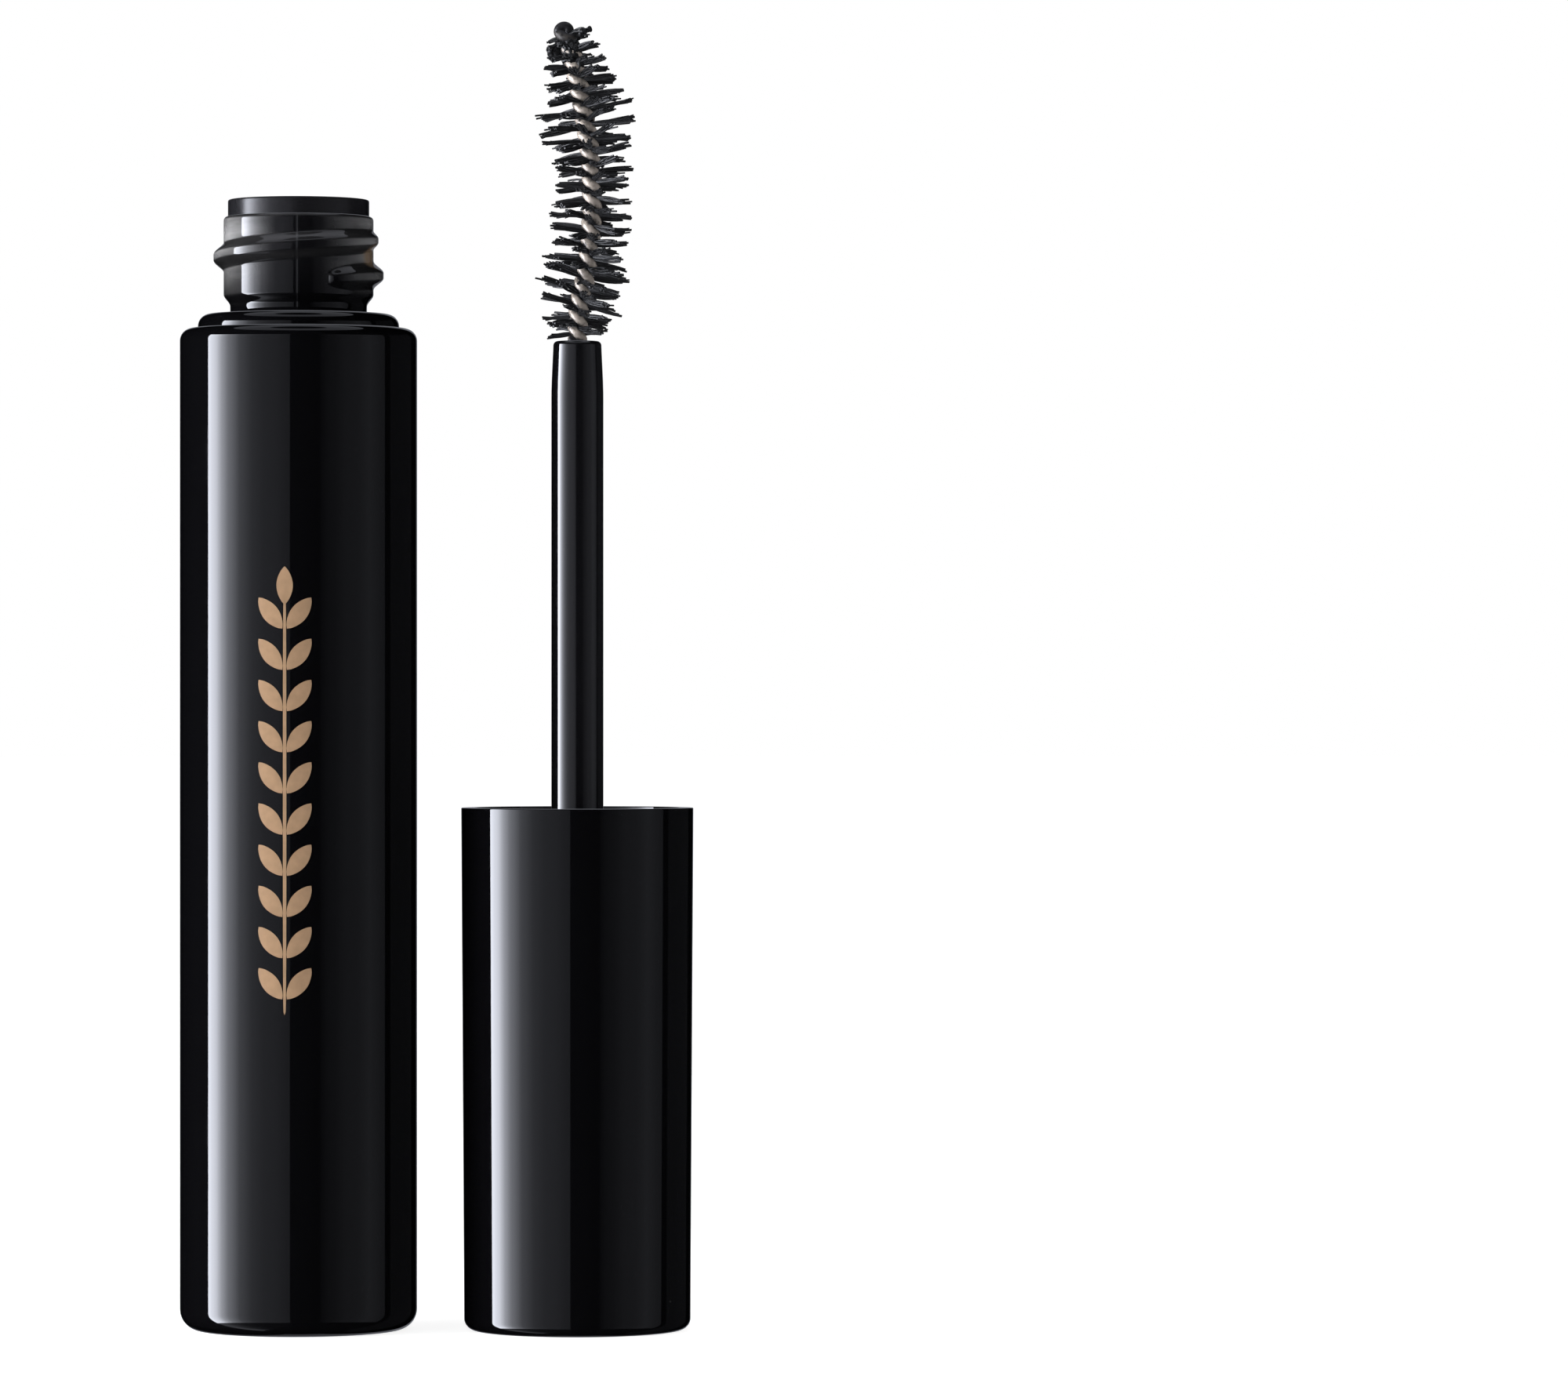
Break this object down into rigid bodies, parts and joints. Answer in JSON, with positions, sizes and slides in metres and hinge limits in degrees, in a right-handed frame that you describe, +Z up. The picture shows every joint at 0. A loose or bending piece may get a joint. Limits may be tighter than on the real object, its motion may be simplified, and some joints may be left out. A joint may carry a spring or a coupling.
{
  "type": "mascara tube",
  "caption": "Round screw-neck mascara bottle with a wiper, and its capped rod applicator with a curved twisted-wire brush, shown opened side by side.",
  "frame": {"origin": "centre of the bottle's flat base", "axes": "+Z up along the bottle, +X from the bottle towards the applicator, and the printed front faces -Y"},
  "size_m": [0.0394, 0.0182, 0.1005],
  "materials": {
    "bottle_black": "high gloss, smoky at the neck",
    "wiper_plastic": "satin moulded polyethylene",
    "mascara_paste": "wet thick paste",
    "label": "satin film label",
    "cap_black": "high gloss lacquer",
    "liner_plastic": "satin moulded polypropylene",
    "washer_foam": "fine closed-cell foam",
    "rod_plastic": "gloss moulded plastic",
    "wire_steel": "drawn steel with smears of paste",
    "bristle_fibre": "black nylon fibres coated with paste",
    "ornament_tan": "satin tan print"
  },
  "bodies": {
    "bottle": {"bottle": "bottle_black", "wiper": "wiper_plastic", "mascara_formula": "mascara_paste", "base_label": "label"},
    "seal": {"sealing_washer": "washer_foam"},
    "applicator": {"outer_cap": "cap_black", "inner_cap": "liner_plastic", "stem": "rod_plastic", "brush_wire": "wire_steel", "bristles": "bristle_fibre"}
  },
  "joints": [
    {"name": "applicator_lift", "type": "slide", "parent": "bottle", "child": "seal", "axis": [0, 0, 1], "range_m": [0, 0.0705]},
    {"name": "cap_turn", "type": "hinge", "parent": "seal", "child": "applicator", "pos_m": [0.02142, 0, 0.02937], "axis": [0, 0, 1], "continuous": true}
  ]
}
